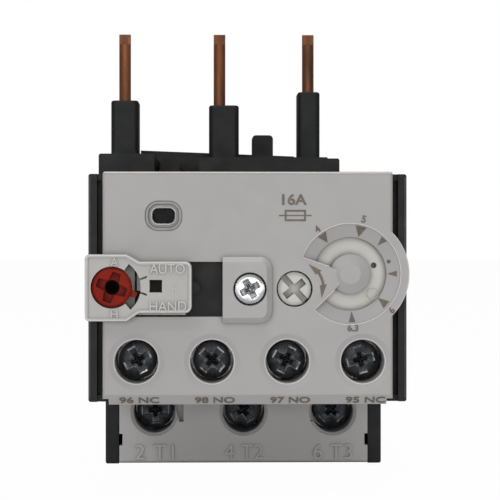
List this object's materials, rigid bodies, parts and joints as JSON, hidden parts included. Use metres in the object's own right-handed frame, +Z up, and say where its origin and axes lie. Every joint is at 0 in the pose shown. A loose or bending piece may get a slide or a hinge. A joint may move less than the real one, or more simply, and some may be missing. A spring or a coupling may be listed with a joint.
{
  "type": "thermal overload relay",
  "caption": "Plug-on thermal overload relay with a geared setting dial, reset knob, screw terminals with rising cages, copper plug pins and a bimetal trip mechanism.",
  "frame": {"origin": "on the floor, under the middle of the whole part", "axes": "+X to the right seen from the front, +Y from the control face to the back, +Z up along the plug pins"},
  "size_m": [0.0455, 0.073, 0.0718],
  "materials": {
    "charcoal_plastic": "moulded, fine grain",
    "light_grey_plastic": "moulded, satin",
    "mid_grey_plastic": "moulded, satin",
    "black_plastic": "moulded",
    "smoke_plastic": "moulded, glossy",
    "white_plastic": "moulded, satin",
    "red_plastic": "moulded",
    "cream_plastic": "moulded",
    "bright_steel": "nickel plated",
    "blued_steel": "blackened",
    "zinc_steel": "zinc plated",
    "spring_steel": "drawn",
    "bimetal": "rolled",
    "heater_wire": "resistance alloy",
    "brass": "stamped",
    "copper": "drawn copper, slightly tarnished"
  },
  "bodies": {
    "case": {"base_housing": "charcoal_plastic", "rear_cover": "charcoal_plastic", "front_cover": "light_grey_plastic", "terminal_cover": "mid_grey_plastic", "guide_plate": "black_plastic", "trip_window": "smoke_plastic", "reset_bezel": "white_plastic", "cover_screw": "bright_steel", "mechanism_frame": "cream_plastic", "lever_pivot_pin": "spring_steel", "reset_spring": "spring_steel", "aux_rail_96": "brass", "aux_rail_98": "brass", "aux_rail_97": "brass", "aux_rail_95": "brass", "load_bar_1": "copper", "load_bar_2": "copper", "load_bar_3": "copper", "plug_pin_1": "copper", "plug_pin_2": "copper", "plug_pin_3": "copper", "pin_sleeve_1": "charcoal_plastic", "pin_sleeve_2": "charcoal_plastic", "pin_sleeve_3": "charcoal_plastic"},
    "reset_stem": {"reset_stem": "black_plastic"},
    "reset_knob": {"reset_knob": "red_plastic"},
    "dial": {"dial_disc": "cream_plastic", "dial_gear": "cream_plastic", "setting_cam": "cream_plastic"},
    "adjuster": {"adjuster_screw": "cream_plastic"},
    "trip_slide": {"trip_slide": "cream_plastic"},
    "differential_slide": {"differential_slide": "cream_plastic"},
    "trip_lever": {"trip_lever": "cream_plastic", "compensating_strip": "bimetal"},
    "contact_carrier": {"contact_carrier": "cream_plastic", "contact_bridge_nc": "brass", "contact_bridge_no": "brass", "trip_indicator": "white_plastic"},
    "bimetal_1": {"bimetal_strip_1": "bimetal", "heater_winding_1": "heater_wire"},
    "bimetal_2": {"bimetal_strip_2": "bimetal", "heater_winding_2": "heater_wire"},
    "bimetal_3": {"bimetal_strip_3": "bimetal", "heater_winding_3": "heater_wire"},
    "aux_screw_96": {"aux_screw_96": "blued_steel"},
    "aux_clamp_96": {"aux_clamp_96": "zinc_steel"},
    "aux_screw_98": {"aux_screw_98": "blued_steel"},
    "aux_clamp_98": {"aux_clamp_98": "zinc_steel"},
    "aux_screw_97": {"aux_screw_97": "blued_steel"},
    "aux_clamp_97": {"aux_clamp_97": "zinc_steel"},
    "aux_screw_95": {"aux_screw_95": "blued_steel"},
    "aux_clamp_95": {"aux_clamp_95": "zinc_steel"},
    "load_screw_1": {"load_screw_1": "blued_steel"},
    "load_clamp_1": {"load_clamp_1": "zinc_steel"},
    "load_screw_2": {"load_screw_2": "blued_steel"},
    "load_clamp_2": {"load_clamp_2": "zinc_steel"},
    "load_screw_3": {"load_screw_3": "blued_steel"},
    "load_clamp_3": {"load_clamp_3": "zinc_steel"}
  },
  "joints": [
    {"name": "reset_press", "type": "slide", "parent": "case", "child": "reset_stem", "axis": [0, 1, 0], "range_m": [0, 0.0012], "stiffness_N_per_m": 150, "deforming": ["reset_spring"]},
    {"name": "reset_turn", "type": "hinge", "parent": "reset_stem", "child": "reset_knob", "pos_m": [-0.01895, -0.0355, 0.02965], "axis": [0, -1, 0], "range_deg": [-25, 60]},
    {"name": "dial_turn", "type": "hinge", "parent": "case", "child": "dial", "pos_m": [0.01442, -0.0305, 0.03147], "axis": [0, -1, 0], "range_deg": [-106, 106]},
    {"name": "adjuster_turn", "type": "hinge", "parent": "case", "child": "adjuster", "pos_m": [0.00657, -0.0305, 0.02938], "axis": [0, -1, 0], "range_deg": [-200, 200]},
    {"name": "trip_slide_push", "type": "slide", "parent": "case", "child": "trip_slide", "axis": [1, 0, 0], "range_m": [0, 0.0012]},
    {"name": "differential_slide_push", "type": "slide", "parent": "case", "child": "differential_slide", "axis": [1, 0, 0], "range_m": [0, 0.00121]},
    {"name": "trip_lever_swing", "type": "hinge", "parent": "case", "child": "trip_lever", "pos_m": [0.008, -0.0139, 0.031], "axis": [0, 1, 0], "range_deg": [0, 8.4]},
    {"name": "contact_lift", "type": "slide", "parent": "case", "child": "contact_carrier", "axis": [0, 0, 1], "range_m": [0, 0.00121]},
    {"name": "bimetal_1_bend", "type": "hinge", "parent": "case", "child": "bimetal_1", "pos_m": [-0.0165, 0.0215, 0.0146], "axis": [0, 1, 0], "range_deg": [0, 2.85]},
    {"name": "bimetal_2_bend", "type": "hinge", "parent": "case", "child": "bimetal_2", "pos_m": [-0.002, 0.0215, 0.0146], "axis": [0, 1, 0], "range_deg": [0, 2.85]},
    {"name": "bimetal_3_bend", "type": "hinge", "parent": "case", "child": "bimetal_3", "pos_m": [0.0125, 0.0215, 0.0146], "axis": [0, 1, 0], "range_deg": [0, 2.85]},
    {"name": "aux_screw_96_turn", "type": "hinge", "parent": "case", "child": "aux_screw_96", "pos_m": [-0.0157, -0.0299, 0.01915], "axis": [0, -1, 0], "range_deg": [0, 1200]},
    {"name": "aux_clamp_96_travel", "type": "slide", "parent": "case", "child": "aux_clamp_96", "axis": [0, 1, 0], "range_m": [0, 0.00195]},
    {"name": "aux_screw_98_turn", "type": "hinge", "parent": "case", "child": "aux_screw_98", "pos_m": [-0.00507, -0.0299, 0.01915], "axis": [0, -1, 0], "range_deg": [0, 1200]},
    {"name": "aux_clamp_98_travel", "type": "slide", "parent": "case", "child": "aux_clamp_98", "axis": [0, 1, 0], "range_m": [0, 0.00195]},
    {"name": "aux_screw_97_turn", "type": "hinge", "parent": "case", "child": "aux_screw_97", "pos_m": [0.00556, -0.0299, 0.01915], "axis": [0, -1, 0], "range_deg": [0, 1200]},
    {"name": "aux_clamp_97_travel", "type": "slide", "parent": "case", "child": "aux_clamp_97", "axis": [0, 1, 0], "range_m": [0, 0.00195]},
    {"name": "aux_screw_95_turn", "type": "hinge", "parent": "case", "child": "aux_screw_95", "pos_m": [0.0162, -0.0299, 0.01915], "axis": [0, -1, 0], "range_deg": [0, 1200]},
    {"name": "aux_clamp_95_travel", "type": "slide", "parent": "case", "child": "aux_clamp_95", "axis": [0, 1, 0], "range_m": [0, 0.00195]},
    {"name": "load_screw_1_turn", "type": "hinge", "parent": "case", "child": "load_screw_1", "pos_m": [-0.0145, 0.0037, 0.0085], "axis": [0, -1, 0], "range_deg": [0, 1230]},
    {"name": "load_clamp_1_travel", "type": "slide", "parent": "case", "child": "load_clamp_1", "axis": [0, 1, 0], "range_m": [0, 0.00233]},
    {"name": "load_screw_2_turn", "type": "hinge", "parent": "case", "child": "load_screw_2", "pos_m": [0, 0.0037, 0.0085], "axis": [0, -1, 0], "range_deg": [0, 1230]},
    {"name": "load_clamp_2_travel", "type": "slide", "parent": "case", "child": "load_clamp_2", "axis": [0, 1, 0], "range_m": [0, 0.00233]},
    {"name": "load_screw_3_turn", "type": "hinge", "parent": "case", "child": "load_screw_3", "pos_m": [0.0145, 0.0037, 0.0085], "axis": [0, -1, 0], "range_deg": [0, 1230]},
    {"name": "load_clamp_3_travel", "type": "slide", "parent": "case", "child": "load_clamp_3", "axis": [0, 1, 0], "range_m": [0, 0.00233]}
  ],
  "couplings": [
    {"joint": "adjuster_turn", "follows": "dial_turn", "ratio": -1.8},
    {"joint": "differential_slide_push", "follows": "trip_slide_push", "ratio": 1},
    {"joint": "trip_lever_swing", "follows": "trip_slide_push", "rad_per_m": 120.48},
    {"joint": "contact_lift", "follows": "trip_slide_push", "ratio": 1},
    {"joint": "bimetal_1_bend", "follows": "trip_slide_push", "rad_per_m": 40.486},
    {"joint": "bimetal_2_bend", "follows": "trip_slide_push", "rad_per_m": 40.486},
    {"joint": "bimetal_3_bend", "follows": "trip_slide_push", "rad_per_m": 40.486},
    {"joint": "aux_screw_96_turn", "follows": "aux_clamp_96_travel", "rad_per_m": 10472},
    {"joint": "aux_screw_98_turn", "follows": "aux_clamp_98_travel", "rad_per_m": 10472},
    {"joint": "aux_screw_97_turn", "follows": "aux_clamp_97_travel", "rad_per_m": 10472},
    {"joint": "aux_screw_95_turn", "follows": "aux_clamp_95_travel", "rad_per_m": 10472},
    {"joint": "load_screw_1_turn", "follows": "load_clamp_1_travel", "rad_per_m": 8976},
    {"joint": "load_screw_2_turn", "follows": "load_clamp_2_travel", "rad_per_m": 8976},
    {"joint": "load_screw_3_turn", "follows": "load_clamp_3_travel", "rad_per_m": 8976}
  ]
}
